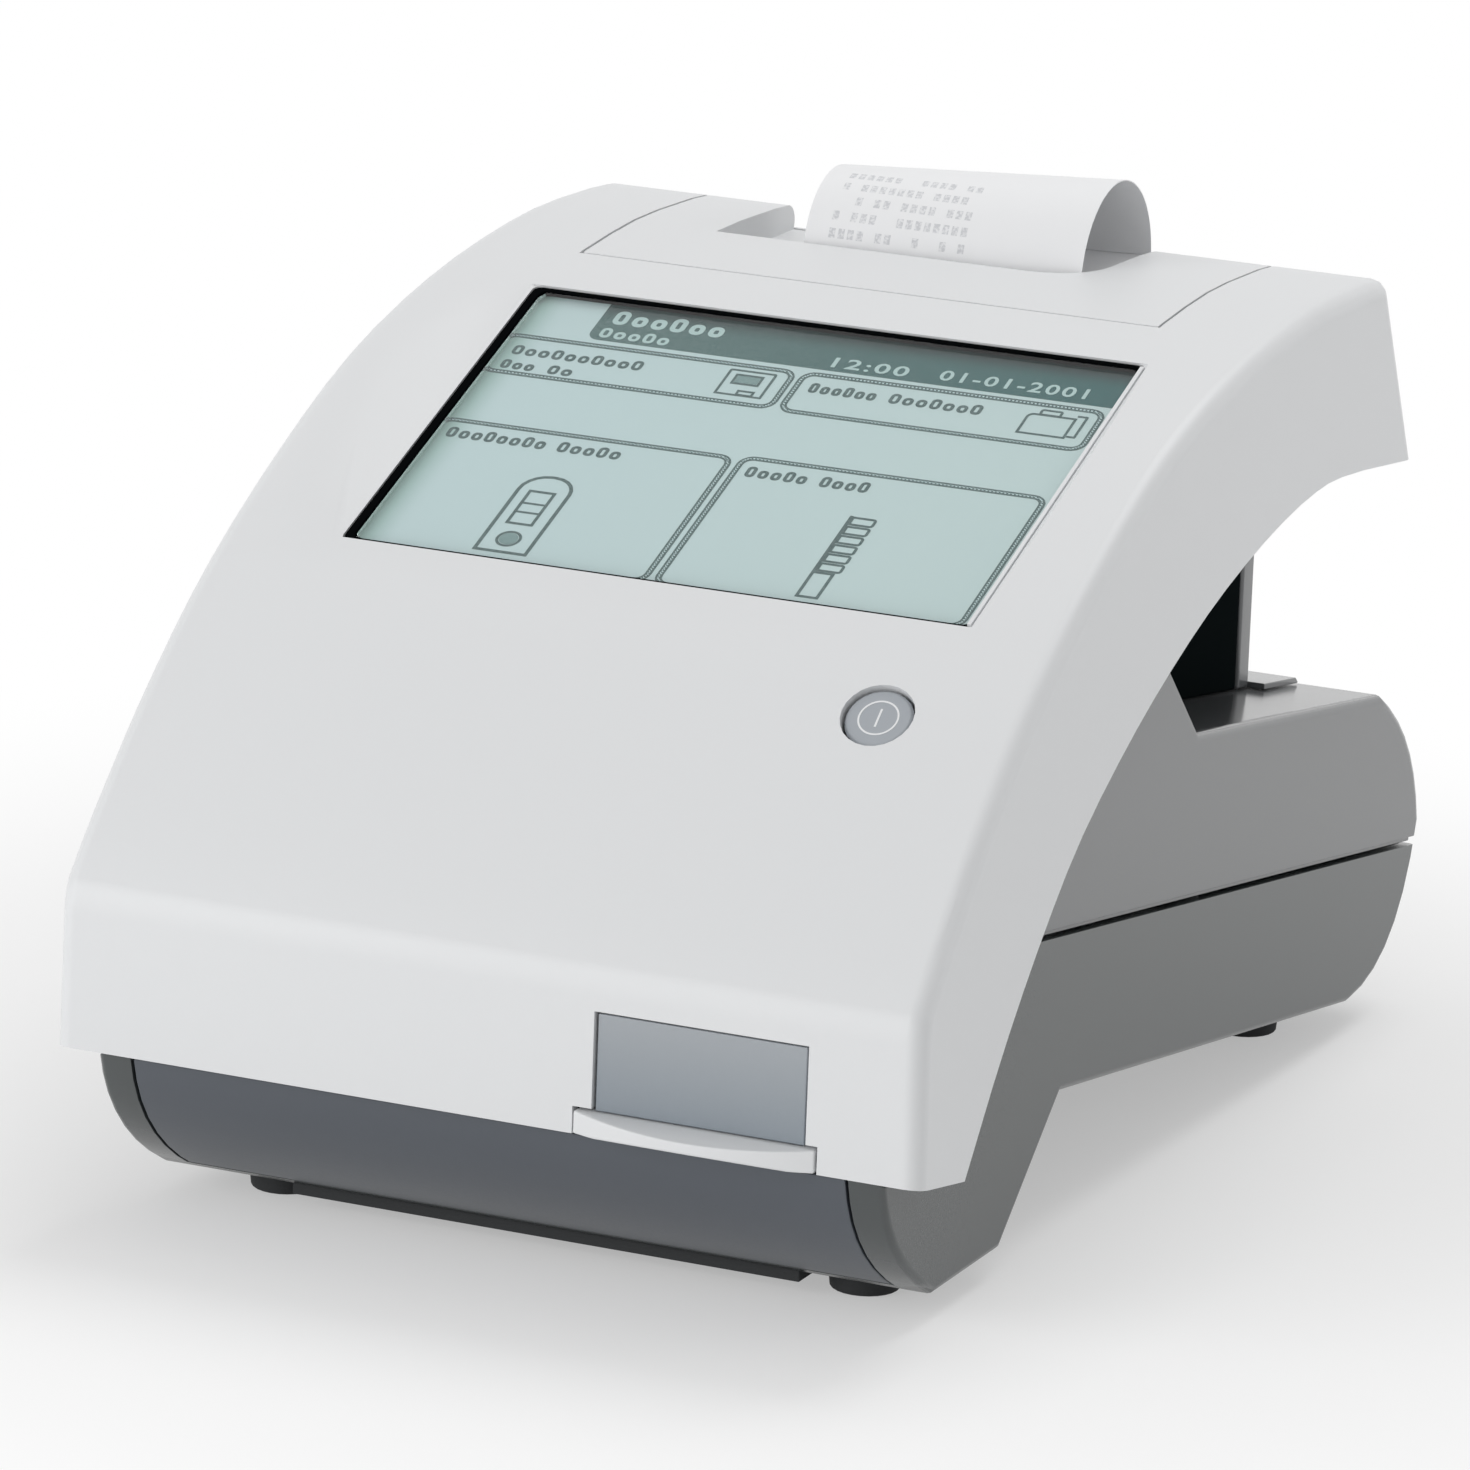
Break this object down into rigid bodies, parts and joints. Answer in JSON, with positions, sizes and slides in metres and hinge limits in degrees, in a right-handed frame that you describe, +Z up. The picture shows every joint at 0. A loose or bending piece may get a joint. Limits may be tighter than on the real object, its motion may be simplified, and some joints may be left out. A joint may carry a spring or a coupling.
{
  "type": "urine analyzer",
  "caption": "Bench analyzer for test strips: arched white cover with a tilted touch screen, a motor-driven test table and a strip printer on a grey base.",
  "frame": {"origin": "on the plane that the feet stand on, under the middle of the analyzer's width and depth", "axes": "+X to the user's right, +Y from the front to the rear, +Z up"},
  "size_m": [0.1712, 0.2762, 0.1716],
  "materials": {
    "white_shell": "fine satin texture, moulded",
    "dark_shell": "fine satin texture, moulded",
    "grey_shell": "fine satin texture, moulded",
    "lower_shell": "fine satin texture, moulded",
    "panel_grey": "smooth satin",
    "button_grey": "smooth satin",
    "black_plastic": "satin",
    "black_rubber": "matte",
    "silicone": "soft, matte",
    "lcd_panel": "reflective liquid crystal panel",
    "clear_glass": "clear",
    "bright_steel": "zinc plated",
    "motor_steel": "drawn can",
    "circuit_board": "green solder mask",
    "gear_plastic": "natural acetal",
    "insert_white": "smooth",
    "paper_white": "thermal paper",
    "core_card": "plain",
    "lever_blue": "satin",
    "cell_wrap": "shrink wrap"
  },
  "bodies": {
    "housing": {"top_cover": "white_shell", "display_gasket": "black_rubber", "touch_glass": "clear_glass", "lcd_module": "lcd_panel", "display_frame": "bright_steel", "display_board": "circuit_board", "button_dome": "silicone", "button_board": "circuit_board", "paper_web": "paper_white", "printer_frame": "bright_steel", "printer_motor": "motor_steel", "print_head": "bright_steel", "printer_bay": "black_plastic", "upper_chassis": "black_plastic", "support_column": "black_plastic", "column_rear_cover": "grey_shell", "deck_plate": "grey_shell", "base_lower_shell": "lower_shell", "base_upper_shell": "grey_shell", "front_fascia": "dark_shell", "rubber_foot_front_left": "black_rubber", "rubber_foot_rear_left": "black_rubber", "rubber_foot_front_right": "black_rubber", "rubber_foot_rear_right": "black_rubber", "front_skid": "black_rubber", "base_screw_front_left": "bright_steel", "base_screw_front_right": "bright_steel", "base_screw_rear_left": "bright_steel", "base_screw_rear_right": "bright_steel", "chassis_plate": "bright_steel", "drive_motor": "motor_steel", "guide_rail_left": "black_plastic", "guide_rail_right": "black_plastic", "read_head_housing": "black_plastic", "read_head_lens": "clear_glass", "led_board": "circuit_board", "sensor_board": "circuit_board", "main_board": "circuit_board", "rear_port_panel": "dark_shell", "power_inlet": "black_plastic", "serial_port": "bright_steel", "card_socket": "black_plastic", "battery_tray": "black_plastic", "battery_pack": "cell_wrap", "battery_cover": "lower_shell"},
    "table": {"test_table": "white_shell", "table_front_panel": "panel_grey", "table_insert": "insert_white", "calibration_bar": "insert_white", "table_rack": "gear_plastic"},
    "table_drive": {"drive_pinion": "gear_plastic"},
    "lid": {"printer_cover": "white_shell", "paper_strip": "paper_white"},
    "button": {"power_button": "button_grey"},
    "platen": {"platen_roller": "black_rubber", "platen_gear": "gear_plastic"},
    "feed_drive": {"printer_motor_gear": "gear_plastic"},
    "lever": {"head_lever": "lever_blue"},
    "paper_supply": {"paper_roll": "paper_white", "paper_core": "core_card"}
  },
  "joints": [
    {"name": "table_slide", "type": "slide", "parent": "housing", "child": "table", "axis": [0, -1, 0], "range_m": [0, 0.1]},
    {"name": "table_drive_spin", "type": "hinge", "parent": "housing", "child": "table_drive", "pos_m": [0.0116, -0.0915, 0.0357], "axis": [0, 0, -1], "range_deg": [0, 720]},
    {"name": "lid_hinge", "type": "hinge", "parent": "housing", "child": "lid", "pos_m": [0, 0.0851, 0.1526], "axis": [-1, 0, 0], "range_deg": [0, 80], "deforming": ["paper_strip"]},
    {"name": "button_press", "type": "slide", "parent": "housing", "child": "button", "axis": [0, 0.6361, -0.7716], "range_m": [0, 0.0015], "stiffness_N_per_m": 800},
    {"name": "roll_spin", "type": "hinge", "parent": "housing", "child": "paper_supply", "pos_m": [0, 0.078, 0.131], "axis": [1, 0, 0], "continuous": true},
    {"name": "platen_spin", "type": "hinge", "parent": "housing", "child": "platen", "pos_m": [0, 0.0494, 0.141], "axis": [1, 0, 0], "continuous": true},
    {"name": "feed_pinion_spin", "type": "hinge", "parent": "housing", "child": "feed_drive", "pos_m": [0, 0.04388, 0.1329], "axis": [1, 0, 0], "continuous": true},
    {"name": "lever_turn", "type": "hinge", "parent": "housing", "child": "lever", "pos_m": [0, 0.057, 0.129], "axis": [-1, 0, 0], "range_deg": [0, 25]}
  ],
  "couplings": [
    {"joint": "table_drive_spin", "follows": "table_slide", "rad_per_m": 125},
    {"joint": "platen_spin", "follows": "roll_spin", "ratio": 3.0682},
    {"joint": "feed_pinion_spin", "follows": "roll_spin", "ratio": -5.5227}
  ]
}
